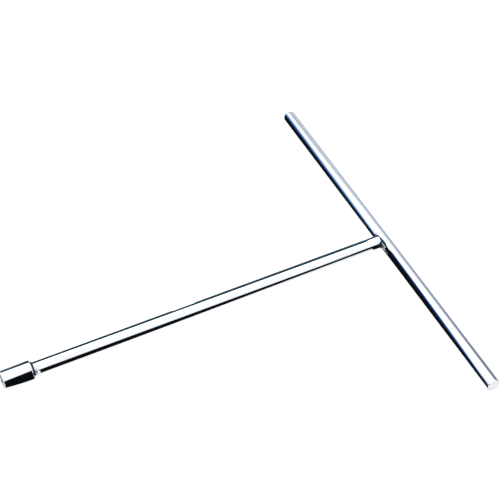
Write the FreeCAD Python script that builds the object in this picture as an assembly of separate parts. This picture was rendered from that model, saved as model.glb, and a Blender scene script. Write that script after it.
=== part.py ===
"""T-handle socket wrench for 10 mm hexagon screws.

Millimetres, +Z up. The wrench lies flat: the shaft runs along +X from the
socket's mouth to the crossbar, and the crossbar runs along Y. The origin is
the centre of the socket's mouth, on the axis of the hexagon.
"""

import FreeCAD, Part
from FreeCAD import Vector
import math
import os

# ---- driving dimensions, mm ----
reach = 323.0  # socket mouth to crossbar axis
bar_length = 352.0
bar_dia = 10.0
bar_end_round = 1.0
shaft_dia = 10.0

hex_across_flats = 10.0  # the screw head that the socket is made for
hex_clearance = 0.10  # added to the across-flats size
hex_depth = 11.5
socket_wall = 1.67  # outside the hexagon's corners
socket_mouth_round = 0.7
socket_rear_round = 1.0
lead_in = 0.30  # how far the lead-in cone opens past the hexagon's corners
relief_over = 0.20  # broach relief groove, past the corners, on the radius
relief_width = 1.4
stud_bore_dia = 8.5
stud_bore_length = 4.1

spigot_step = 1.0  # how much smaller, on the radius, the shaft's pressed-in end is
spigot_length = 7.0
spigot_chamfer = 0.6

tee_set_down = 1.0  # how deep the shaft's end is sunk into the crossbar
tee_weld_leg = 1.8
tee_weld_run = 1.5  # weld metal on the crossbar's crown, past the shaft's end
tee_weld_flush = 0.05  # the weld is dressed this far below the thicker rod's crown
socket_weld_leg = 1.5  # up the socket's rear face
socket_weld_run = 3.2  # along the shaft

pad_start = 141.0  # blank marking pad, from the socket's mouth
pad_length = 20.0
pad_depth = 0.4
pad_angle = 45.0  # degrees about the shaft, from +Z towards +Y
pad_run_out = 3.0  # radius of the cutter at the pad's two ends

# ---- worked-out sizes ----
X = Vector(1, 0, 0)
Y = Vector(0, 1, 0)
Z = Vector(0, 0, 1)
bar_r = bar_dia / 2
shaft_r = shaft_dia / 2
spigot_r = shaft_r - spigot_step
hex_flats = hex_across_flats + hex_clearance
hex_corner_r = hex_flats / math.sqrt(3)
socket_r = hex_corner_r + socket_wall
lead_in_r = hex_corner_r + lead_in
relief_r = hex_corner_r + relief_over
relief_end_x = hex_depth + relief_width
spigot_start_x = relief_end_x + stud_bore_length
socket_length = spigot_start_x + spigot_length
shaft_end_x = reach - bar_r + tee_set_down
margin = 1.0  # how far cutting tools run past what they cut


def at(x, y=0.0, z=0.0):
    return Vector(x, y, z)


def rod(radius, start_x, end_x):
    """A round bar along the shaft's axis."""
    return Part.makeCylinder(radius, end_x - start_x, at(start_x), X)


def turned(outline):
    """Turn a closed outline, given as edges in the XZ half-plane, about the shaft's axis."""
    face = Part.Face(Part.Wire(outline))
    return face.revolve(at(0), X, 360)


def line(a, b):
    return Part.LineSegment(at(a[0], 0, a[1]), at(b[0], 0, b[1])).toShape()


def hollow_fillet(toe_x, run, leg):
    """The concave face of a weld bead: flush with the shaft at its toe, then up a face.

    run is how far the face stands from the toe along X, signed, and leg is how far up it the bead goes.
    """
    radius = (run**2 + leg**2) / (2 * leg)
    half_sweep = math.asin(run / radius) / 2
    middle_x = toe_x + radius * math.sin(half_sweep)
    middle_r = shaft_r + radius * (1 - math.cos(half_sweep))
    ends = [(toe_x, shaft_r), (middle_x, middle_r), (toe_x + run, shaft_r + leg)]
    return Part.Arc(*[at(x, 0, r) for x, r in ends]).toShape()


def end_circles(shape, x):
    """The round edges of a turned shape whose plane stands at this x."""
    found = []
    for edge in shape.Edges:
        box = edge.BoundBox
        if abs(box.XMin - x) < 1e-6 and abs(box.XMax - x) < 1e-6:
            found.append(edge)
    return found


def crossbar_blank(extra=0.0):
    length = bar_length + 2 * extra
    return Part.makeCylinder(bar_r, length, at(reach, -length / 2), Y)


def crossbar():
    """The handle: a plain round bar with rounded ends."""
    bar = crossbar_blank()
    rims = [e for e in bar.Edges if isinstance(e.Curve, Part.Circle)]
    return bar.makeFillet(min(bar_end_round, 0.9 * bar_r), rims)


def pad_cutter():
    """What the marking pad takes away: a long flat with a run-out at each end."""
    floor = shaft_r - pad_depth
    run_out = math.sqrt(pad_run_out**2 - (pad_run_out - pad_depth) ** 2)
    top = shaft_r + margin
    low = pad_start + run_out
    high = pad_start + pad_length - run_out
    centre = floor + pad_run_out
    side = pad_run_out * math.sqrt(0.5)
    left = Part.Arc(
        at(low - pad_run_out, 0, centre),
        at(low - side, 0, centre - side),
        at(low, 0, floor),
    ).toShape()
    right = Part.Arc(
        at(high, 0, floor),
        at(high + side, 0, centre - side),
        at(high + pad_run_out, 0, centre),
    ).toShape()
    roof = max(top, centre + margin)
    outline = [
        left,
        line((low, floor), (high, floor)),
        right,
        line((high + pad_run_out, centre), (high + pad_run_out, roof)),
        line((high + pad_run_out, roof), (low - pad_run_out, roof)),
        line((low - pad_run_out, roof), (low - pad_run_out, centre)),
    ]
    face = Part.Face(Part.Wire(outline))
    face.translate(at(0, -shaft_r))
    cutter = face.extrude(Y * shaft_dia)
    cutter.rotate(at(0), X, -pad_angle)
    return cutter


def shaft():
    """The stem: sunk into the crossbar at one end, turned down to a spigot at the other."""
    stem = rod(shaft_r, socket_length, shaft_end_x)
    spigot = rod(spigot_r, spigot_start_x, socket_length)
    spigot = spigot.makeChamfer(spigot_chamfer, end_circles(spigot, spigot_start_x))
    body = stem.cut(crossbar_blank(margin)).cut(pad_cutter())
    return body.fuse(spigot).removeSplitter()


def hexagon_bore():
    corners = []
    for step in range(6):
        angle = math.radians(60 * step)
        y = hex_corner_r * math.cos(angle)
        z = hex_corner_r * math.sin(angle)
        corners.append(at(-margin, y, z))
    face = Part.Face(Part.makePolygon(corners + corners[:1]))
    return face.extrude(X * (hex_depth + margin))


def socket():
    """The driving end: hexagon, broach relief, stud bore, then the spigot's seat."""
    body = rod(socket_r, 0, socket_length)
    body = body.makeFillet(socket_mouth_round, end_circles(body, 0))
    body = body.makeFillet(socket_rear_round, end_circles(body, socket_length))
    lead_in_depth = lead_in_r - hex_flats / 2
    lead_in_cone = Part.makeCone(
        lead_in_r + margin, hex_flats / 2, lead_in_depth + margin, at(-margin), X
    )
    relief = rod(relief_r, hex_depth, relief_end_x)
    stud_bore = rod(stud_bore_dia / 2, relief_end_x - margin, spigot_start_x)
    seat = rod(spigot_r, spigot_start_x - margin, socket_length + margin)
    for tool in (hexagon_bore(), lead_in_cone, relief, stud_bore, seat):
        body = body.cut(tool)
    return body


def socket_weld_bead():
    """A hollow fillet that runs round the shaft behind the socket."""
    foot = (socket_length, shaft_r)
    face_top = (socket_length, shaft_r + socket_weld_leg)
    toe = (socket_length + socket_weld_run, shaft_r)
    hollow = hollow_fillet(toe[0], -socket_weld_run, socket_weld_leg)
    return turned([hollow, line(face_top, foot), line(foot, toe)])


def tee_weld_bead(stem):
    """The ring of weld metal where the shaft's end is sunk into the crossbar."""
    near_x = reach - bar_r - tee_weld_leg
    side_x = reach - bar_r
    far_x = shaft_end_x + tee_weld_run
    outer = shaft_r + tee_weld_leg
    hollow = hollow_fillet(near_x, tee_weld_leg, tee_weld_leg)
    ring = turned(
        [
            hollow,
            line((side_x, outer), (far_x, outer)),
            line((far_x, outer), (far_x, 0)),
            line((far_x, 0), (near_x, 0)),
            line((near_x, 0), (near_x, shaft_r)),
        ]
    )
    height = 2 * (max(bar_r, shaft_r) - tee_weld_flush)
    width = 2 * (outer + margin)
    length = far_x - near_x + 2 * margin
    corner = at(near_x - margin, -width / 2, -height / 2)
    dressed = ring.common(Part.makeBox(length, width, height, corner))
    return dressed.cut(crossbar_blank(margin)).cut(stem)


def main():
    os.makedirs("parts", exist_ok=True)
    stem = shaft()
    pieces = {
        "crossbar": crossbar(),
        "shaft": stem,
        "socket": socket(),
        "socket_weld_bead": socket_weld_bead(),
        "tee_weld_bead": tee_weld_bead(stem),
    }
    for name, shape in pieces.items():
        shape.exportStep(f"parts/{name}.step")
        print(
            name,
            "valid" if shape.isValid() else "NOT VALID",
            f"{shape.Volume:.1f} mm3",
            len(shape.Solids),
            "solids",
        )


main()
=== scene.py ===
"""A chromed T-handle socket wrench: finished meshes, plating and a light table round the CAD frame.

Laid out as a Blender add-on and run as a script. Everything is in metres in the CAD's own frame: the
shaft runs along +X from the socket's mouth, which is centred on the origin, and the crossbar along Y.
"""

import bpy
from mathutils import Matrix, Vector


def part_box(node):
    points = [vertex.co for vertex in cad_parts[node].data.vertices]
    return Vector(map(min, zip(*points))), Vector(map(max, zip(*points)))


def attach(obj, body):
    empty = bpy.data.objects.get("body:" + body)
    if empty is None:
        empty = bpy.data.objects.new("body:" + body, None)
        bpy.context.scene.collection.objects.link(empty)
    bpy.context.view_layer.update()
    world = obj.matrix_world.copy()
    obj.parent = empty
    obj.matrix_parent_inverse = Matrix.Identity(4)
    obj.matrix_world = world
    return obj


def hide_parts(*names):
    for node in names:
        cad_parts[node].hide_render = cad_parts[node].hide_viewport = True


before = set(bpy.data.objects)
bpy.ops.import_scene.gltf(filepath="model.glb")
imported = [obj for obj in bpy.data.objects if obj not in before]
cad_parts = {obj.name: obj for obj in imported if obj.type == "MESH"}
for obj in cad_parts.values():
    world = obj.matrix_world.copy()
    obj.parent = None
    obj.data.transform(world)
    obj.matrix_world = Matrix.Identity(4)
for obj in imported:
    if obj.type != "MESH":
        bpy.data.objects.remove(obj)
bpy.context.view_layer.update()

import math

import bmesh
import bpy
from bpy.props import FloatProperty, FloatVectorProperty, IntProperty, PointerProperty
from mathutils import Matrix, Vector

bl_info = {
    "name": "T-handle socket wrench",
    "version": (1, 0, 0),
    "blender": (4, 5, 0),
    "location": "View3D > Sidebar > Wrench",
    "description": "Builds the finished pieces of a chromed T-handle wrench and its light table",
    "category": "Add Mesh",
}

MM = 0.001
ROOT = "root"
CAP_R = 0.02 * MM  # radius of the small ring in the middle of a capped end


# ---- sizes read from the frame ----
def box_centre(node):
    low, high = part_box(node)
    return (low + high) / 2


def box_size(node):
    low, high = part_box(node)
    return high - low


BAR_X = box_centre("crossbar").x
BAR_HALF = box_size("crossbar").y / 2
BAR_R = box_size("crossbar").z / 2
SHAFT_R = box_size("shaft").y / 2
SHAFT_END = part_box("shaft")[1].x
SPIGOT_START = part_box("shaft")[0].x
SOCKET_R = box_size("socket").z / 2
SOCKET_LENGTH = box_size("socket").x
SOCKET_BEAD_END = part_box("socket_weld_bead")[1].x
SOCKET_BEAD_R = box_size("socket_weld_bead").z / 2


# ---- what a user may change ----
def length_property(name, description, millimetres):
    return FloatProperty(
        name=name,
        description=description,
        default=millimetres * MM,
        min=0.0,
        precision=5,
        unit="LENGTH",
        subtype="DISTANCE",
    )


def colour_property(name, description, colour):
    return FloatVectorProperty(
        name=name,
        description=description,
        default=colour,
        size=3,
        min=0.0,
        soft_max=1.0,
        subtype="COLOR",
    )


def share_property(name, description, default):
    return FloatProperty(
        name=name, description=description, default=default, min=0.0, max=1.0, subtype="FACTOR"
    )


class WRENCH_PG_shape(bpy.types.PropertyGroup):
    """Sizes of the details that the frame's boxes don't give."""

    bar_end_round: length_property("Bar end round", "Round on the crossbar's two ends", 1.0)
    edge_break: length_property("Edge break", "Small round left by polishing and plating", 0.18)
    pad_start: length_property("Pad start", "From the socket's mouth to the marking pad", 141.0)
    pad_length: length_property("Pad length", "Length of the blank marking pad", 20.0)
    pad_depth: length_property("Pad depth", "Depth of the marking pad", 0.4)
    pad_run_out: length_property("Pad run-out", "Cutter radius at the pad's ends", 3.0)
    pad_angle: FloatProperty(
        name="Pad angle",
        description="Turn of the pad about the shaft, from +Z towards +Y",
        default=math.radians(45),
        subtype="ANGLE",
        unit="ROTATION",
    )
    across_flats: length_property("Across flats", "Size of the hexagon recess", 10.1)
    hex_depth: length_property("Hexagon depth", "Depth of the hexagon from the mouth", 11.5)
    lead_in: length_property("Lead-in", "How far the lead-in cone opens past the corners", 0.3)
    relief_over: length_property("Relief", "Broach relief past the hexagon's corners", 0.2)
    relief_width: length_property("Relief width", "Width of the broach relief groove", 1.4)
    stud_bore_r: length_property("Stud bore radius", "Radius of the bore behind the hexagon", 4.25)
    mouth_round: length_property("Mouth round", "Round on the socket's mouth", 0.7)
    rear_round: length_property("Rear round", "Round on the socket's rear shoulder", 1.0)
    spigot_step: length_property("Spigot step", "How much smaller the shaft's spigot is", 1.0)
    spigot_chamfer: length_property("Spigot chamfer", "Chamfer on the spigot's end", 0.6)
    weld_leg: length_property("Weld leg", "Leg of the weld at the sides of the joint", 1.7)
    weld_crown_leg: length_property("Weld crown leg", "Weld on the shaft's crown and foot", 0.7)
    weld_crown_run: length_property("Weld crown run", "Weld on the crossbar's crown", 1.9)
    ripple_pitch: length_property("Ripple pitch", "Distance from one weld ripple to the next", 0.95)
    ripple_height: length_property("Ripple height", "Height of the weld ripples", 0.06)
    facets: IntProperty(
        name="Facets", description="Faces round a rod", default=144, min=24, max=512
    )


class WRENCH_PG_finish(bpy.types.PropertyGroup):
    """Colours and polish of the plating."""

    chrome: colour_property("Chrome", "Bright plating", (0.86, 0.875, 0.895))
    chrome_haze: colour_property("Haze", "Where the plating is slightly hazy", (0.79, 0.80, 0.83))
    recess: colour_property("Recess", "Thin, dull plating inside the socket", (0.36, 0.36, 0.37))
    weld: colour_property("Weld", "Plating over the welds", (0.77, 0.78, 0.81))
    # painted shade: near-black and dark blue painted along the weld seams, standing in for the shade and
    # dark reflections there
    painted_seam_shade: colour_property("Bare weld", "Weld toe that the plating misses", (0.010, 0.014, 0.030))
    painted_seam_blue: colour_property("Temper blue", "Heat tint in the weld's toe", (0.012, 0.10, 0.20))
    polish: share_property("Polish", "Roughness of the polished rods", 0.045)
    smear: share_property("Smear", "Extra roughness in handled patches", 0.07)
    recess_roughness: share_property("Recess roughness", "Roughness inside the socket", 0.34)
    weld_roughness: share_property("Weld roughness", "Roughness of the plated welds", 0.12)


class WRENCH_PG_stage(bpy.types.PropertyGroup):
    """Light table, sky and camera."""

    floor: colour_property("Floor", "Colour of the light table", (0.24, 0.24, 0.24))
    floor_glow: share_property("Floor glow", "Light that comes through the table", 0.90)
    sky: FloatProperty(name="Sky", description="Strength of the soft light", default=1.12, min=0)
    camera_azimuth: FloatProperty(
        name="Azimuth",
        description="Camera's direction, from looking along +Y",
        default=math.radians(-20.87),
        subtype="ANGLE",
        unit="ROTATION",
    )
    camera_elevation: FloatProperty(
        name="Elevation",
        description="Camera's height above the horizon",
        default=math.radians(43.78),
        subtype="ANGLE",
        unit="ROTATION",
    )
    camera_roll: FloatProperty(
        name="Roll",
        description="Camera's roll",
        default=math.radians(-5.17),
        subtype="ANGLE",
        unit="ROTATION",
    )
    camera_distance: length_property("Distance", "Camera to the point it aims at", 1456.4)
    camera_lens: FloatProperty(
        name="Lens", description="Focal length, millimetres", default=131.16, unit="CAMERA"
    )
    aim_x: length_property("Aim X", "Where the camera aims, short of the crossbar", 99.0)
    aim_y: length_property("Aim Y", "Where the camera aims, along the crossbar", 39.9)


# ---- outlines and skins ----
def eased(corners, steps=8, hold=0.12 * MM, span=6 * MM):
    """An outline of (x, r) points from corners (x, r, round).

    A corner with a round becomes an arc. A holding point stands at each end of a straight, and long
    straights get a point about every span.
    """
    points = []
    count = len(corners)
    for index, (x, r, ease) in enumerate(corners):
        here = Vector((x, r))
        if ease <= 0 or index in (0, count - 1):
            points.append([here])
            continue
        before = (Vector(corners[index - 1][:2]) - here).normalized()
        after = (Vector(corners[index + 1][:2]) - here).normalized()
        half = before.angle(after) / 2
        reach = ease / math.tan(half)
        centre = here + (before + after).normalized() * ease / math.sin(half)
        start = here + before * reach - centre
        finish = here + after * reach - centre
        turn = math.pi - 2 * half
        sign = 1 if start.x * finish.y - start.y * finish.x > 0 else -1
        arc = []
        for step in range(steps + 1):
            angle = sign * turn * step / steps
            cos, sin = math.cos(angle), math.sin(angle)
            spoke = Vector((start.x * cos - start.y * sin, start.x * sin + start.y * cos))
            arc.append(centre + spoke)
        points.append(arc)
    outline = list(points[0])
    for run in points[1:]:
        start, end = outline[-1], run[0]
        length = (end - start).length
        if length > 3 * hold:
            outline.append(start.lerp(end, hold / length))
            pieces = max(1, round(length / span))
            outline += [start.lerp(end, step / pieces) for step in range(1, pieces)]
            outline.append(start.lerp(end, 1 - hold / length))
        outline += run
    return [(point.x, point.y) for point in outline]


def around(count):
    """Evenly spaced angles for a full turn."""
    return [2 * math.pi * step / count for step in range(count)]


def ring(x, r, angles):
    """A ring about the shaft's axis. x and r are numbers or functions of the angle."""
    points = []
    for angle in angles:
        here_r = r(angle) if callable(r) else r
        here_x = x(angle) if callable(x) else x
        points.append(Vector((here_x, here_r * math.cos(angle), here_r * math.sin(angle))))
    return points


def skin(name, rings, joined=False):
    """A closed smooth mesh over rings of points.

    joined closes the last ring to the first. Otherwise both ends are capped.
    """
    mesh = bmesh.new()
    rows = [[mesh.verts.new(point) for point in points] for points in rings]
    pairs = list(zip(rows, rows[1:]))
    if joined:
        pairs.append((rows[-1], rows[0]))
    for lower, upper in pairs:
        for index in range(len(lower)):
            after = (index + 1) % len(lower)
            mesh.faces.new((lower[index], lower[after], upper[after], upper[index]))
    if not joined:
        for row in (rows[0], rows[-1]):
            centre = mesh.verts.new(sum((v.co for v in row), Vector()) / len(row))
            for index in range(len(row)):
                mesh.faces.new((row[index], row[(index + 1) % len(row)], centre))
    bmesh.ops.recalc_face_normals(mesh, faces=mesh.faces)
    for face in mesh.faces:
        face.smooth = True
    data = bpy.data.meshes.new(name)
    mesh.to_mesh(data)
    mesh.free()
    piece = bpy.data.objects.new(name, data)
    bpy.context.scene.collection.objects.link(piece)
    return piece


def place(piece, node, material):
    """Give the piece its finish and let it stand for its CAD node."""
    piece.data.materials.append(material)
    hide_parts(node)
    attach(piece, ROOT)


def smooth_step(low, high, value):
    """0 below low, 1 above high and a soft step between them, for plain numbers."""
    share = min(1.0, max(0.0, (value - low) / (high - low)))
    return share * share * (3 - 2 * share)


# ---- shader arithmetic ----
class Wire:
    """One socket of a node tree. Arithmetic on values adds Math nodes."""

    def __init__(self, tree, socket=None):
        self.tree = tree
        self.socket = socket

    def node(self, kind, settings=None, inputs=None, output=0):
        """Any node: its type, its settings, then what its sockets get. Returns one output."""
        made = self.tree.nodes.new(kind)
        for key, value in (settings or {}).items():
            if key == "stops":
                set_stops(made.color_ramp, value)
            else:
                setattr(made, key, value)
        for key, value in (inputs or {}).items():
            if isinstance(value, Wire):
                self.tree.links.new(value.socket, made.inputs[key])
            else:
                made.inputs[key].default_value = value
        return Wire(self.tree, made.outputs[output] if made.outputs else None)

    def math(self, operation, first, second=0.0):
        return self.node("ShaderNodeMath", {"operation": operation}, {0: first, 1: second})

    def __add__(self, other):
        return self.math("ADD", self, other)

    def __radd__(self, other):
        return self.math("ADD", other, self)

    def __sub__(self, other):
        return self.math("SUBTRACT", self, other)

    def __rsub__(self, other):
        return self.math("SUBTRACT", other, self)

    def __mul__(self, other):
        return self.math("MULTIPLY", self, other)

    def __rmul__(self, other):
        return self.math("MULTIPLY", other, self)

    def __truediv__(self, other):
        return self.math("DIVIDE", self, other)

    def __pow__(self, other):
        return self.math("POWER", self, other)

    def smooth(self, low, high):
        """0 below low, 1 above high and a soft step between them. low may be the larger."""
        settings = {"interpolation_type": "SMOOTHSTEP", "clamp": True}
        if low > high:
            return 1 - self.smooth(high, low)
        return self.node(
            "ShaderNodeMapRange", settings, {"Value": self, "From Min": low, "From Max": high}
        )


def set_stops(ramp, stops):
    """Stops of a colour ramp, as (position, colour)."""
    while len(ramp.elements) < len(stops):
        ramp.elements.new(1.0)
    for element, (position, colour) in zip(ramp.elements, stops):
        element.position = position
        element.color = (*colour, 1.0)


# the Mix node's sockets for colours, which share their names with those for other kinds of value
MIX_SHARE, MIX_FIRST, MIX_SECOND, MIX_RESULT = 0, 6, 7, 2


def with_alpha(colour):
    return colour if isinstance(colour, Wire) else (*colour, 1.0)


def mix_colours(wire, share, first, second):
    """first where share is 0, second where it is 1."""
    inputs = {MIX_SHARE: share, MIX_FIRST: with_alpha(first), MIX_SECOND: with_alpha(second)}
    return wire.node("ShaderNodeMix", {"data_type": "RGBA"}, inputs, output=MIX_RESULT)


def stretched(wire, place_wire, scale):
    """The position, scaled along each axis, for a grain that runs one way."""
    return wire.node(
        "ShaderNodeVectorMath", {"operation": "MULTIPLY"}, {0: place_wire, 1: scale}
    )


def grain(wire, vector, scale, detail=2.0, rough=0.5, warp=0.0):
    """Soft noise from 0 to 1. scale is one over the size of its grains."""
    inputs = {
        "Vector": vector,
        "Scale": scale,
        "Detail": detail,
        "Roughness": rough,
        "Distortion": warp,
    }
    return wire.node("ShaderNodeTexNoise", {}, inputs)


def metal(name, base_colour, roughness, height):
    """A plated metal. base_colour, roughness and height are functions of (wire, position)."""
    material = bpy.data.materials.new(name)
    material.use_nodes = True
    tree = material.node_tree
    tree.nodes.clear()
    wire = Wire(tree)
    position = wire.node("ShaderNodeTexCoord", output="Object")
    surface = wire.node(
        "ShaderNodeBump",
        {},
        {"Strength": 1.0, "Distance": MM, "Height": height(wire, position)},
    )
    shine = wire.node(
        "ShaderNodeBsdfPrincipled",
        {},
        {
            "Base Color": base_colour(wire, position),
            "Metallic": 1.0,
            "Roughness": roughness(wire, position),
            "Normal": surface,
        },
    )
    wire.node("ShaderNodeOutputMaterial", {}, {"Surface": shine})
    return material


def split(wire, position):
    """The x, y and z of a position."""
    first = wire.node("ShaderNodeSeparateXYZ", {}, {0: position})
    return [Wire(wire.tree, output) for output in first.socket.node.outputs]


LINE = 1 / (0.32 * MM)  # polishing lines, one each third of a millimetre
ALONG = 1 / (26 * MM)  # how far one polishing line runs round the rod
SCRATCH = 1 / (0.12 * MM)  # how close hairline marks can lie
SCRATCH_RUN = 1 / (9 * MM)  # how far one runs
SMEAR_TINT = 0.55  # how far a smear turns the plating's colour to its haze
PLATING_EDGE = 0.2 * MM  # the width over which the plating thins, where the socket covers the shaft


def polishing_lines(wire, position, axis):
    """Fine lines left by the polishing belt, running round the rod."""
    scale = [ALONG, ALONG, ALONG]
    scale[axis] = LINE
    return grain(wire, stretched(wire, position, scale), 1.0, 3.0, 0.6)


def handling_marks(wire, position, axis):
    """Hairline marks along the rod, from other tools in the drawer: rare, thin and broken."""
    scale = [SCRATCH, SCRATCH, SCRATCH]
    scale[axis] = SCRATCH_RUN
    lines = grain(wire, stretched(wire, position, scale), 1.0, 1.0, 0.4, 0.4)
    where = grain(wire, position, 1 / (14 * MM), 1.0)
    return lines.smooth(0.68, 0.76) * where.smooth(0.52, 0.62)


def smears(wire, position):
    """Patches where fingers have dulled the shine."""
    broad = grain(wire, position, 1 / (17 * MM), 3.0, 0.55, 0.6)
    return broad.smooth(0.48, 0.72)


def bright_plating(wire, position, finish):
    """The plating's colour, hazier where it is smeared."""
    share = smears(wire, position) * SMEAR_TINT
    return mix_colours(wire, share, finish.chrome, finish.chrome_haze)


def surface_relief(wire, position, axis, line_height, mark_depth, wave_size, wave_height):
    """Polishing lines, hairline marks and slow waves in the plating, as heights in millimetres."""
    lines = polishing_lines(wire, position, axis) * line_height
    marks = handling_marks(wire, position, axis) * -mark_depth
    waves = grain(wire, position, 1 / wave_size, 1.0) * wave_height
    return lines + marks + waves


def rod_chrome(finish, name, axis, inside_x=None):
    """Bright chrome on a polished rod whose length runs along axis.

    It is thin and dull on the rod's stretch below inside_x, which the socket covers.
    """

    def covered(wire, position):
        return split(wire, position)[0].smooth(inside_x, inside_x - PLATING_EDGE)

    def colour(wire, position):
        bright = bright_plating(wire, position, finish)
        if inside_x is None:
            return bright
        return mix_colours(wire, covered(wire, position), bright, finish.recess)

    def roughness(wire, position):
        lines = polishing_lines(wire, position, axis).smooth(0.35, 0.75) * 0.03
        marks = handling_marks(wire, position, axis) * 0.10
        dull = smears(wire, position) * finish.smear
        value = finish.polish + lines + marks + dull
        if inside_x is None:
            return value
        return value + covered(wire, position) * finish.recess_roughness

    def height(wire, position):
        return surface_relief(wire, position, axis, 0.0004, 0.0015, 9 * MM, 0.012)

    return metal(name, colour, roughness, height)


def socket_chrome(finish, shape):
    """Bright chrome outside, thin and dull plating in the recess, with the broach's drag marks there."""
    rim_r = shape.across_flats / math.sqrt(3) + shape.lead_in
    outside_r = rim_r + 0.10 * MM
    inside_r = rim_r - 0.55 * MM
    drag_run = 1 / (6 * MM)
    drag_pitch = 1 / (0.25 * MM)

    def inside(wire, position):
        _, y, z = split(wire, position)
        radius = (y * y + z * z) ** 0.5
        return radius.smooth(outside_r, inside_r)

    def colour(wire, position):
        bright = bright_plating(wire, position, finish)
        stain = grain(wire, position, 1 / (1.6 * MM), 3.0, 0.6)
        dull = mix_colours(wire, stain, finish.recess, finish.chrome_haze)
        return mix_colours(wire, inside(wire, position), bright, dull)

    def roughness(wire, position):
        lines = polishing_lines(wire, position, 0).smooth(0.35, 0.75) * 0.035
        marks = handling_marks(wire, position, 0) * 0.12
        dull = inside(wire, position) * finish.recess_roughness
        return finish.polish + lines + marks + dull

    def height(wire, position):
        relief = surface_relief(wire, position, 0, 0.0006, 0.002, 7 * MM, 0.010)
        broach = stretched(wire, position, (drag_run, drag_pitch, drag_pitch))
        drag = grain(wire, broach, 1.0, 2.0) * inside(wire, position) * 0.012
        return relief + drag

    return metal("socket_chrome", colour, roughness, height)


def weld_chrome(finish):
    """Plating over weld metal, hazy in places, with painted shade, black to dark blue, along the seams.
    The mesh holds its ripples.
    """

    def painted_seam_mask(wire, position):
        """1 where shade is painted: along the seam at the crossbar and behind the socket."""
        x, _, z = split(wire, position)
        squared = BAR_R**2 - z * z
        side = BAR_X - squared.math("MAXIMUM", squared, 0.0) ** 0.5
        seam = x.math("MINIMUM", side, SHAFT_END)
        at_bar = (x - seam).smooth(-1.1 * MM, -0.5 * MM)
        behind_socket = x.smooth(SOCKET_LENGTH + 1.7 * MM, SOCKET_LENGTH + 1.2 * MM)
        return at_bar + behind_socket

    def colour(wire, position):
        bloom = grain(wire, position, 1 / (1.1 * MM), 3.0, 0.6)
        plated = mix_colours(wire, bloom.smooth(0.35, 0.7), finish.weld, finish.chrome)
        # painted shade along the seams, in patches of black and dark blue
        seam_blue_share = grain(wire, position, 1 / (2.5 * MM), 2.0, 0.5)
        shaded_seam_colour = mix_colours(wire, seam_blue_share.smooth(0.40, 0.62), finish.painted_seam_shade, finish.painted_seam_blue)
        return mix_colours(wire, painted_seam_mask(wire, position), plated, shaded_seam_colour)

    def roughness(wire, position):
        pitted = grain(wire, position, 1 / (0.5 * MM), 3.0, 0.6) * 0.10
        return finish.weld_roughness + pitted + painted_seam_mask(wire, position) * 0.25

    def height(wire, position):
        pits = grain(wire, position, 1 / (0.35 * MM), 2.0).smooth(0.30, 0.18) * -0.02
        rough_skin = grain(wire, position, 1 / (0.8 * MM), 2.0) * 0.02
        return pits + rough_skin

    return metal("weld_chrome", colour, roughness, height)


# ---- the crossbar ----
class WRENCH_OT_crossbar(bpy.types.Operator):
    """Turn the crossbar, a round rod with rounded ends"""

    bl_idname = "wrench.crossbar"
    bl_label = "Crossbar"

    def execute(self, context):
        shape = context.scene.wrench_shape
        ends = [
            (-BAR_HALF, CAP_R, 0.0),
            (-BAR_HALF, BAR_R, shape.bar_end_round),
            (BAR_HALF, BAR_R, shape.bar_end_round),
            (BAR_HALF, CAP_R, 0.0),
        ]
        angles = around(shape.facets)
        rings = [ring(x, r, angles) for x, r in eased(ends, steps=14)]
        bar = skin("crossbar_rod", rings)
        bar.data.transform(Matrix.Translation((BAR_X, 0, 0)) @ Matrix.Rotation(math.pi / 2, 4, "Z"))
        finish = context.scene.wrench_finish
        place(bar, "crossbar", rod_chrome(finish, "crossbar_chrome", axis=1))
        return {"FINISHED"}


# ---- the shaft ----
def pad_floor(shape, x):
    """Distance from the shaft's axis to the marking pad's cutter at this x."""
    floor = SHAFT_R - shape.pad_depth
    cutter = shape.pad_run_out
    reach = math.sqrt(cutter**2 - (cutter - shape.pad_depth) ** 2)
    low = shape.pad_start + reach
    high = shape.pad_start + shape.pad_length - reach
    off = max(low - x, x - high, 0.0)
    if off >= cutter:
        return SHAFT_R + cutter
    return floor + cutter - math.sqrt(cutter**2 - off**2)


def padded_r(shape, x, angle):
    """The shaft's radius at this place, with the marking pad cut and its edges eased by the plating."""
    ease = 0.03 * MM
    toward = math.pi / 2 - shape.pad_angle
    turn = math.cos(angle - toward)
    if turn < 0.5:  # the pad is never wider than 60 degrees to each side
        return SHAFT_R
    flat = pad_floor(shape, x) / turn
    blend = max(0.0, 1 - abs(SHAFT_R - flat) / ease)
    return min(SHAFT_R, flat) - ease * blend * blend / 4


def shaft_angles(shape):
    """Angles round the shaft, closely spaced across the marking pad."""
    toward = math.pi / 2 - shape.pad_angle
    half = math.radians(30)
    rest = 2 * math.pi - 2 * half
    fine = 160
    coarse = shape.facets - 24
    angles = [toward - half + 2 * half * step / fine for step in range(fine)]
    angles += [toward + half + rest * step / coarse for step in range(coarse)]
    return angles


def with_pad_ends(outline, shape):
    """The shaft's outline, with closely spaced points where the marking pad's ends run out."""
    past = 0.3 * MM
    run = 2.2 * MM
    gap = 0.6 * MM
    steps = 26
    for end, inward in ((shape.pad_start, 1), (shape.pad_start + shape.pad_length, -1)):
        fine = sorted(end + inward * (run * step / steps - past) for step in range(steps + 1))
        before = [point for point in outline if point[0] <= fine[0] - gap]
        after = [point for point in outline if point[0] >= fine[-1] + gap]
        outline = before + [(x, SHAFT_R) for x in fine] + after
    return outline


def end_cut(x, radius, angle):
    """x near the shaft's end, moved back as far as the crossbar's side cuts into the flat end."""
    z = min(abs(radius * math.sin(angle)), BAR_R)
    side = BAR_X - math.sqrt(BAR_R**2 - z**2)
    return x - max(0.0, SHAFT_END - side)


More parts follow.
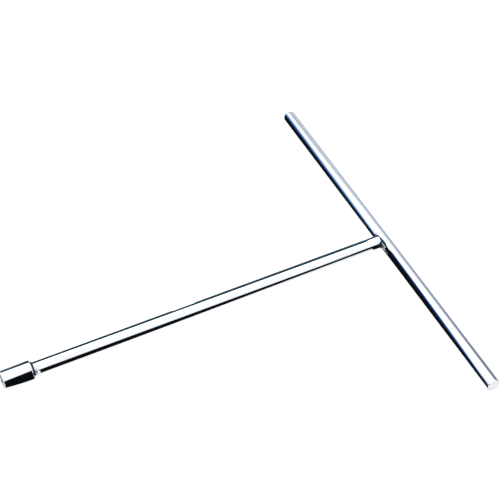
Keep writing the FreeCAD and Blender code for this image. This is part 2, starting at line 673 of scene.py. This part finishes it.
class WRENCH_OT_shaft(bpy.types.Operator):
    """Turn the shaft with its spigot, marking pad and saddled end"""

    bl_idname = "wrench.shaft"
    bl_label = "Shaft"

    def execute(self, context):
        shape = context.scene.wrench_shape
        spigot_r = SHAFT_R - shape.spigot_step
        chamfer = shape.spigot_chamfer
        corners = [
            (SPIGOT_START, CAP_R, 0.0),
            (SPIGOT_START, spigot_r - chamfer, 0.05 * MM),
            (SPIGOT_START + chamfer, spigot_r, 0.05 * MM),
            (SOCKET_LENGTH, spigot_r, 0.02 * MM),
            (SOCKET_LENGTH, SHAFT_R, 0.05 * MM),
            (SHAFT_END, SHAFT_R, shape.edge_break),
            (SHAFT_END, CAP_R, 0.0),
        ]
        angles = shaft_angles(shape)
        pad_low = shape.pad_start - MM
        pad_high = shape.pad_start + shape.pad_length + MM
        rings = []
        for x, r in with_pad_ends(eased(corners, steps=5), shape):
            if pad_low < x < pad_high:
                rings.append(ring(x, lambda a, x=x: padded_r(shape, x, a), angles))
            elif x > SHAFT_END - MM:
                rings.append(ring(lambda a, x=x, r=r: end_cut(x, r, a), r, angles))
            else:
                rings.append(ring(x, r, angles))
        stem = skin("shaft_rod", rings)
        finish = context.scene.wrench_finish
        chrome = rod_chrome(finish, "shaft_chrome", axis=0, inside_x=SOCKET_LENGTH)
        place(stem, "shaft", chrome)
        return {"FINISHED"}


# ---- the socket ----
def hexagon_r(shape, angle):
    """The recess's radius at this angle: a hexagon with a flat on top and corners eased by the broach."""
    crispness = 80
    total = 0.0
    for side in range(6):
        facing = math.cos(angle - math.radians(30 + 60 * side))
        if facing > 0:
            total += facing**crispness
    return shape.across_flats / 2 / total ** (1 / crispness)


class WRENCH_OT_socket(bpy.types.Operator):
    """Turn the socket and broach its hexagon"""

    bl_idname = "wrench.socket"
    bl_label = "Socket"

    def execute(self, context):
        shape = context.scene.wrench_shape
        angles = around(216)
        hold = 0.06 * MM
        corner_r = shape.across_flats / math.sqrt(3)
        rim_r = corner_r + shape.lead_in
        relief_r = corner_r + shape.relief_over
        relief_end = shape.hex_depth + shape.relief_width
        seat_r = SHAFT_R - shape.spigot_step + 0.01 * MM
        outside = [
            (SOCKET_LENGTH, seat_r, 0.0),
            (SOCKET_LENGTH, SOCKET_R, shape.rear_round),
            (0.0, SOCKET_R, shape.mouth_round),
            (0.0, rim_r, 0.0),
        ]
        rings = [ring(x, r, angles) for x, r in eased(outside, steps=10, hold=hold, span=2 * MM)]

        def wall_r(angle):
            return hexagon_r(shape, angle)

        # the lead-in cone, from the rim to the hexagon's wall
        for share in (0.06, 0.5, 0.94, 1.0):
            rings.append(
                ring(
                    lambda a, s=share: s * (rim_r - wall_r(a)),
                    lambda a, s=share: rim_r + s * (wall_r(a) - rim_r),
                    angles,
                )
            )
        # the hexagon's wall, from the cone to the broach relief
        for share in (0.01, 0.33, 0.66, 0.99):
            rings.append(
                ring(
                    lambda a, s=share: (rim_r - wall_r(a)) * (1 - s) + shape.hex_depth * s,
                    wall_r,
                    angles,
                )
            )
        rings.append(ring(shape.hex_depth, wall_r, angles))
        behind = [
            (shape.hex_depth, relief_r - 2 * hold, 0.0),
            (shape.hex_depth, relief_r, hold),
            (relief_end, relief_r, hold),
            (relief_end, shape.stud_bore_r, hold),
            (SPIGOT_START, shape.stud_bore_r, hold),
            (SPIGOT_START, seat_r, hold),
            (SOCKET_LENGTH - hold, seat_r, 0.0),
        ]
        rings += [ring(x, r, angles) for x, r in eased(behind, steps=3, hold=hold, span=2 * MM)]
        body = skin("socket_body", rings, joined=True)
        finish = context.scene.wrench_finish
        place(body, "socket", socket_chrome(finish, shape))
        return {"FINISHED"}


# ---- the welds ----
BEAD_SECTIONS = 288  # cross-sections round each bead


def bead_line(start, corner, end, fill, share):
    """A point across a weld bead: a curve from toe to toe that sags towards its corner."""
    pull = corner.lerp((start + end) / 2, fill)
    return start * (1 - share) ** 2 + pull * (2 * share * (1 - share)) + end * share**2


def ripple(shape, along, share):
    """Height of the weld's ripples at this distance along the bead and share across it."""
    lag = shape.ripple_pitch * 0.9  # how far a ripple's ends trail its middle
    bowed = along + lag * (2 * share - 1) ** 2
    phase = 2 * math.pi * bowed / shape.ripple_pitch
    unsteady = 0.35 * math.sin(0.31 * phase + 1.3) + 0.25 * math.sin(0.17 * phase)
    return shape.ripple_height * (math.sin(phase) + unsteady) * math.sin(math.pi * share)


def tee_section(shape, angle):
    """The tee weld's guide points at this angle: toe on the shaft, corner, toe on the crossbar."""
    y, z = math.cos(angle), math.sin(angle)
    # the angle round the crossbar at which its side meets the shaft's flat end
    deep = math.acos((BAR_X - SHAFT_END) / BAR_R)
    lean = min(math.asin(min(1.0, abs(z) * SHAFT_R / BAR_R)), deep)
    crown = smooth_step(math.sin(deep), 1.0, abs(z))
    up = 1 if z >= 0 else -1
    corner_z = BAR_R * math.sin(lean)
    corner_r = min(SHAFT_R, corner_z / abs(z)) if abs(z) > math.sin(deep) else SHAFT_R
    corner = Vector((BAR_X - BAR_R * math.cos(lean), corner_r * y, corner_r * z))
    leg = shape.weld_leg + (shape.weld_crown_leg - shape.weld_leg) * crown
    toe = Vector((corner.x - leg, SHAFT_R * y, SHAFT_R * z))
    run = shape.weld_leg + (shape.weld_crown_run - shape.weld_leg) * crown
    least_rise = 0.35  # at the sides the bead spreads mostly along the crossbar
    rise = least_rise + (1 - least_rise) * crown
    sideways = Vector((y, z * rise)).normalized() * run
    turn = up * lean + sideways.y / BAR_R
    foot = Vector(
        (BAR_X - BAR_R * math.cos(turn), corner.y + sideways.x, BAR_R * math.sin(turn))
    )
    return toe, corner, foot


class WRENCH_OT_welds(bpy.types.Operator):
    """Lay the weld round the tee joint and the weld behind the socket"""

    bl_idname = "wrench.welds"
    bl_label = "Welds"

    def execute(self, context):
        shape = context.scene.wrench_shape
        finish = context.scene.wrench_finish
        chrome = weld_chrome(finish)
        self.tee(shape, chrome)
        self.behind_socket(shape, chrome)
        return {"FINISHED"}

    def tee(self, shape, chrome):
        across = 14
        fill = 0.42
        sink = 0.35 * MM  # how far the bead's hidden side lies inside the rods
        rings = []
        for angle in around(BEAD_SECTIONS):
            toe, corner, foot = tee_section(shape, angle)
            out = Vector((0, math.cos(angle), math.sin(angle)))
            away = (out - Vector((1, 0, 0))).normalized()
            points = []
            for step in range(across + 1):
                share = step / across
                point = bead_line(toe, corner, foot, fill, share)
                points.append(point + away * ripple(shape, SHAFT_R * angle, share))
            points.append(foot + Vector((BAR_X - foot.x, 0, -foot.z)).normalized() * sink)
            points.append(corner + (Vector((BAR_X, 0, 0)) - corner).normalized() * sink * 2)
            points.append(toe - out * sink)
            rings.append(points)
        bead = skin("tee_weld", rings, joined=True)
        place(bead, "tee_weld_bead", chrome)

    def behind_socket(self, shape, chrome):
        across = 12
        fill = 0.45
        sink = 0.3 * MM
        middle_r = 1.2 * SHAFT_R  # the bead's middle
        leg = SOCKET_BEAD_R - SHAFT_R - 0.12 * MM
        run = SOCKET_BEAD_END - SOCKET_LENGTH - 0.15 * MM
        along = Vector((1, 0, 0))
        rings = []
        for angle in around(BEAD_SECTIONS):
            out = Vector((0, math.cos(angle), math.sin(angle)))
            wander = 0.08 * MM * math.sin(3 * angle + 0.7) + 0.05 * MM * math.sin(7 * angle)
            face = along * SOCKET_LENGTH + out * (SHAFT_R + leg + wander)
            corner = along * SOCKET_LENGTH + out * SHAFT_R
            toe = along * (SOCKET_LENGTH + run + wander) + out * SHAFT_R
            away = (out + along * 0.5).normalized()
            points = []
            for step in range(across + 1):
                share = step / across
                point = bead_line(face, corner, toe, fill, share)
                points.append(point + away * ripple(shape, middle_r * angle, share))
            points.append(toe - out * sink)
            points.append(corner - out * sink - along * sink)
            points.append(face - along * sink)
            rings.append(points)
        bead = skin("socket_weld", rings, joined=True)
        place(bead, "socket_weld_bead", chrome)


# ---- stage ----
BLACK = (0.003, 0.004, 0.006)
WHITE = (0.97, 0.98, 1.0)
TEAL = (0.012, 0.055, 0.085)
PALE = (0.96, 0.98, 1.0)

# how a strip's colour runs from one of its edges to the other
FADE = [
    (0.0, BLACK),
    (0.62, BLACK),
    (0.76, (0.012, 0.07, 0.24)),
    (0.90, (0.24, 0.46, 0.80)),
    (1.0, PALE),
]
BLUE_FADE = [
    (0.0, BLACK),
    (0.40, BLACK),
    (0.58, (0.012, 0.07, 0.24)),
    (0.84, (0.20, 0.44, 0.80)),
    (1.0, PALE),
]
DEEP_FADE = [
    (0.0, BLACK),
    (0.52, BLACK),
    (0.70, (0.012, 0.06, 0.26)),
    (0.88, (0.20, 0.40, 0.82)),
    (1.0, PALE),
]
GREY_FADE = [
    (0.0, (0.40, 0.45, 0.58)),
    (0.7, (0.46, 0.52, 0.66)),
    (1.0, PALE),
]


def even(colour):
    """The stops of a strip that is one colour all over."""
    return [(0.0, colour), (1.0, colour)]


def glow(name, stops, from_front=False):
    """A light whose colour runs across the strip it is on. from_front leaves its back clear."""
    material = bpy.data.materials.new(name)
    material.use_nodes = True
    tree = material.node_tree
    tree.nodes.clear()
    wire = Wire(tree)
    across = split(wire, wire.node("ShaderNodeTexCoord", output="UV"))[1]
    colour = wire.node("ShaderNodeValToRGB", {"stops": stops}, {"Fac": across})
    surface = wire.node("ShaderNodeEmission", {}, {"Color": colour, "Strength": 1.0})
    if from_front:
        behind = wire.node("ShaderNodeNewGeometry", output="Backfacing")
        clear = wire.node("ShaderNodeBsdfTransparent")
        surface = wire.node("ShaderNodeMixShader", {}, {0: behind, 1: surface, 2: clear})
    wire.node("ShaderNodeOutputMaterial", {}, {"Surface": surface})
    return material


def card(name, near_edge, far_edge, stops, from_front=False, pieces=48):
    """A strip that only polished metal sees. Its two edges are functions of a share from 0 to 1."""
    mesh = bmesh.new()
    layer = mesh.loops.layers.uv.new("across")
    rows = []
    for step in range(pieces + 1):
        share = step / pieces
        rows.append([mesh.verts.new(edge(share)) for edge in (near_edge, far_edge)])
    for low, high in zip(rows, rows[1:]):
        face = mesh.faces.new((low[0], high[0], high[1], low[1]))
        for loop, across in zip(face.loops, (0, 0, 1, 1)):
            loop[layer].uv = (0.5, across)
    data = bpy.data.meshes.new(name)
    mesh.to_mesh(data)
    mesh.free()
    strip = bpy.data.objects.new(name, data)
    bpy.context.scene.collection.objects.link(strip)
    data.materials.append(glow(name, stops, from_front))
    strip.visible_camera = False
    strip.visible_diffuse = False
    strip.visible_shadow = False
    strip.visible_transmission = False
    strip.visible_volume_scatter = False


def between(first, last):
    """An edge that runs straight from one point to another, both in millimetres."""
    return lambda share: Vector(first).lerp(Vector(last), share) * MM


def resting_tilt(shape):
    """The slope of the table under the wrench, and its height below the origin.

    The wrench lies on its crossbar and on the socket's rear shoulder.
    """
    heel = Vector((SOCKET_LENGTH - shape.rear_round, -SOCKET_R))
    to_bar = Vector((BAR_X, 0.0)) - heel
    slope = math.atan2(to_bar.y, to_bar.x) - math.asin(BAR_R / to_bar.length)
    return slope, heel.y - heel.x * math.tan(slope)


def table_top(shape, stage):
    """The pale floor, lit from below so that shadows stay faint."""
    slope, height = resting_tilt(shape)
    radius = 6.0
    thickness = 0.02
    rings = [ring(0.0, radius * share, around(96)) for share in (0.02, 0.1, 0.4, 1.0)]
    floor = skin("floor", rings + [ring(-thickness, radius, around(96))])
    turn = Matrix.Rotation(-math.pi / 2, 4, "Y")
    floor.data.transform(Matrix.Rotation(-slope, 4, "Y") @ turn)
    floor.data.transform(Matrix.Translation((0, 0, height)))
    material = bpy.data.materials.new("light_table")
    material.use_nodes = True
    tree = material.node_tree
    tree.nodes.clear()
    wire = Wire(tree)
    acrylic = wire.node(
        "ShaderNodeBsdfPrincipled",
        {},
        {
            "Base Color": (*stage.floor, 1.0),
            "Roughness": 0.6,
            "Specular IOR Level": 0.0,
            "Emission Color": (1.0, 1.0, 1.0, 1.0),
            "Emission Strength": stage.floor_glow,
        },
    )
    wire.node("ShaderNodeOutputMaterial", {}, {"Surface": acrylic})
    floor.data.materials.append(material)
    floor.visible_glossy = False


def backdrop():
    """A white wall all round, far away."""
    bottom, top = -0.2, 3.5
    inner, outer = 5.8, 5.9
    corners = ((bottom, inner), (top, inner), (top, outer), (bottom, outer))
    wall = skin("backdrop", [ring(x, r, around(96)) for x, r in corners], joined=True)
    wall.data.transform(Matrix.Rotation(-math.pi / 2, 4, "Y"))
    wall.data.materials.append(glow("backdrop_white", even((1.0, 1.0, 1.0))))
    wall.visible_glossy = False
    wall.visible_diffuse = False
    wall.visible_shadow = False


def reflection_cards(shape):
    """What the polished metal mirrors: a white table top, painted shade on it and standing strips that
    paint dark reflections beside the rods.

    Places are given in millimetres.
    """
    slope, height = resting_tilt(shape)
    bar_x, end = BAR_X / MM, BAR_HALF / MM
    socket_end = SOCKET_LENGTH / MM
    shade_start = socket_end + 5.5  # past the weld behind the socket
    beside = bar_x - 12  # the dark strips stand here, in front of the crossbar
    low = -7  # and reach down to here
    wide = 3000
    lowest, lower, upper, highest = 0.05, 0.10, 0.12, 0.14  # the table's strips lie on one another

    def on_table(x, y, lift):
        return Vector((x * MM, y * MM, height + x * MM * math.tan(slope) + lift * MM))

    def flat(name, near_edge, far_edge, stops, lift):
        """A strip on the table between two lines, each a function of share that gives x and y."""
        card(
            name,
            lambda share: on_table(*near_edge(share), lift),
            lambda share: on_table(*far_edge(share), lift),
            stops,
        )

    def dark_reflection_strip(name, first, last, tops, stops, foot=low, from_front=False):
        """A standing strip of painted dark reflection, seen only by polished metal, from first to last,
        each x and y, with the heights of its top there.
        """
        card(
            name,
            between((*first, foot), (*last, foot)),
            between((*first, tops[0]), (*last, tops[1])),
            stops,
            from_front,
        )

    def line(first, last):
        return lambda share: (
            first[0] + (last[0] - first[0]) * share,
            first[1] + (last[1] - first[1]) * share,
        )

    def front_shade_back(share):
        """The back edge of the shade in front of the shaft, which comes forward towards the crossbar."""
        forward = 0.036
        x = shade_start + (bar_x - shade_start) * share
        return x, -forward * (x - shade_start)

    def front_shade_rim(share):
        """Its front edge: the shade is deep at the socket and narrows towards the crossbar."""
        least, more, fall = 45, 150, 85
        start = shade_start + 16
        x = start + (bar_x - start) * share
        return x, -(least + more * math.exp(-(x - shade_start - 5) / fall))

    def beside_bar(share):
        """The edge of the crossbar's own shade, which steps back where the shaft meets it."""
        step_back, step_width = 2.5, 12
        y = end * (2 * share - 1)
        return beside + step_back * math.exp(-abs(y) / step_width), y

    def across(x_low, x_high, y):
        """A line along the shaft's direction."""
        return line((x_low, y), (x_high, y))

    def along_bar(x, y_low, y_high):
        """A line along the crossbar's direction."""
        return line((x, y_low), (x, y_high))

    socket_shade = (
        line((-2, -45), (socket_end + 4, -45)),
        line((-2, -11), (socket_end + 4, 0)),
    )
    flat("table_white", across(-wide, wide, -wide), across(-wide, wide, wide), even(WHITE), lowest)
    flat("shade_front", front_shade_back, front_shade_rim, FADE, lower)
    flat("shade_back", across(socket_end, bar_x, 0), across(socket_end, bar_x, 1500), even(BLACK), lower)
    flat("shade_mouth", across(-25, socket_end, 0), across(-25, socket_end, 60), GREY_FADE, lower)
    flat("shade_right", along_bar(bar_x, 1 - end, end), along_bar(2200, 1 - end, 1900), GREY_FADE, upper)
    flat("shade_bar", beside_bar, along_bar(bar_x + 3, -end, end), even(BLACK), highest)
    flat("shade_socket", *socket_shade, even(BLACK), lower)
    # painted dark reflections beside the rods, in place of the shade that lies there
    dark_reflection_strip("fence_far", (beside, 6), (beside, end + 20), (4.4, 18.0), BLUE_FADE)
    dark_reflection_strip("fence_near", (beside, -end), (beside, -5), (0.6, 23.5), DEEP_FADE, from_front=True)
    dark_reflection_strip("fence_socket", (-14, -40), (socket_end + 4.5, -40), (15, 29), even(BLACK))
    dark_reflection_strip("fence_behind", (socket_end + 4, 9), (bar_x - 9, 9), (14.0, 24.0), even(TEAL), foot=8.5)


def sky(stage):
    """The room round the table: a white tent with a dark wall behind the bench and a dim low rim.

    Directions are x to the right, y to the back and z up.
    """
    haze = (0.60, 0.66, 0.76)
    far_corner = (0.09, 0.09, 0.13)
    world = bpy.data.worlds.new("studio")
    bpy.context.scene.world = world
    world.use_nodes = True
    tree = world.node_tree
    tree.nodes.clear()
    wire = Wire(tree)
    x, y, z = split(wire, wire.node("ShaderNodeTexCoord", output="Generated"))
    level = (x * x + y * y + 0.0001) ** 0.5
    right, back = x / level, y / level
    # the wall: tall to the right, taller still at its far right, and a skirting on its left
    behind = back.smooth(0.35, 0.55)
    ahead = right.smooth(-0.15, 0.10)
    raised = z - right.smooth(0.64, 0.74) * 0.15
    tall = ahead * raised.smooth(0.74, 0.48)
    skirting = (1 - ahead) * right.smooth(-0.50, -0.35) * z.smooth(0.45, 0.25)
    # the rim: low down at both sides
    aside = back.smooth(0.50, 0.35) * (right * right).smooth(0.25, 0.45)
    rim = aside * z.smooth(0.34, 0.16)
    dark = behind * (tall + skirting) + rim
    hazy = mix_colours(wire, right.smooth(0.71, 0.82), haze, far_corner)
    wall = mix_colours(wire, right.smooth(0.50, 0.66), TEAL, hazy)
    room = mix_colours(wire, dark, (1.0, 1.0, 1.0), wall)
    light = wire.node("ShaderNodeBackground", {}, {"Color": room, "Strength": stage.sky})
    wire.node("ShaderNodeOutputWorld", {}, {"Surface": light})


def softbox(name, place_at, aim, size, power):
    """A rectangular lamp that points at aim."""
    data = bpy.data.lights.new(name, "AREA")
    data.shape = "RECTANGLE"
    data.size, data.size_y = size
    data.energy = power
    lamp = bpy.data.objects.new(name, data)
    bpy.context.scene.collection.objects.link(lamp)
    lamp.location = place_at
    lamp.rotation_euler = (Vector(aim) - Vector(place_at)).to_track_quat("-Z", "Y").to_euler()


def camera(stage):
    """The camera, aimed between the shaft and the crossbar's far half."""
    azimuth, elevation = stage.camera_azimuth, stage.camera_elevation
    back = Vector(
        (
            math.sin(azimuth) * math.cos(elevation),
            -math.cos(azimuth) * math.cos(elevation),
            math.sin(elevation),
        )
    )
    right = Vector((math.cos(azimuth), math.sin(azimuth), 0))
    level = Matrix((right, back.cross(right), back)).transposed()
    turn = Matrix.Rotation(stage.camera_roll, 3, back) @ level
    data = bpy.data.cameras.new("camera")
    data.lens = stage.camera_lens
    data.sensor_width = 36.0
    data.clip_start, data.clip_end = 0.05, 30.0
    eye = bpy.data.objects.new("camera", data)
    bpy.context.scene.collection.objects.link(eye)
    aim = Vector((BAR_X - stage.aim_x, stage.aim_y, 0))
    eye.matrix_world = Matrix.Translation(aim + back * stage.camera_distance) @ turn.to_4x4()
    bpy.context.scene.camera = eye


class WRENCH_OT_stage(bpy.types.Operator):
    """Set up the light table, the soft light and the camera"""

    bl_idname = "wrench.stage"
    bl_label = "Stage"

    def execute(self, context):
        shape, stage = context.scene.wrench_shape, context.scene.wrench_stage
        context.scene.view_settings.view_transform = "Standard"
        table_top(shape, stage)
        backdrop()
        reflection_cards(shape)
        sky(stage)
        middle = BAR_X / 2
        softbox("tent_light", (middle, 0.35, 1.3), aim=(middle, 0, 0), size=(1.6, 1.6), power=9.0)
        camera(stage)
        return {"FINISHED"}


class WRENCH_PT_bench(bpy.types.Panel):
    """Lists the wrench's pieces in the sidebar"""

    bl_label = "T-handle wrench"
    bl_idname = "WRENCH_PT_bench"
    bl_space_type = "VIEW_3D"
    bl_region_type = "UI"
    bl_category = "Wrench"

    def draw(self, context):
        for operator in OPERATORS:
            self.layout.operator(operator.bl_idname)
        for group in ("wrench_shape", "wrench_finish", "wrench_stage"):
            settings = getattr(context.scene, group)
            column = self.layout.column(align=True)
            for name in settings.__annotations__:
                column.prop(settings, name)


GROUPS = {
    "wrench_shape": WRENCH_PG_shape,
    "wrench_finish": WRENCH_PG_finish,
    "wrench_stage": WRENCH_PG_stage,
}
OPERATORS = (
    WRENCH_OT_crossbar,
    WRENCH_OT_shaft,
    WRENCH_OT_socket,
    WRENCH_OT_welds,
    WRENCH_OT_stage,
)


def register():
    for item in (*GROUPS.values(), *OPERATORS, WRENCH_PT_bench):
        bpy.utils.register_class(item)
    for name, group in GROUPS.items():
        setattr(bpy.types.Scene, name, PointerProperty(type=group))


def unregister():
    for name in GROUPS:
        delattr(bpy.types.Scene, name)
    for item in (WRENCH_PT_bench, *reversed(OPERATORS), *reversed(GROUPS.values())):
        bpy.utils.unregister_class(item)


def main():
    register()
    bpy.ops.wrench.crossbar()
    bpy.ops.wrench.shaft()
    bpy.ops.wrench.socket()
    bpy.ops.wrench.welds()
    bpy.ops.wrench.stage()


if __name__ == "__main__":
    main()
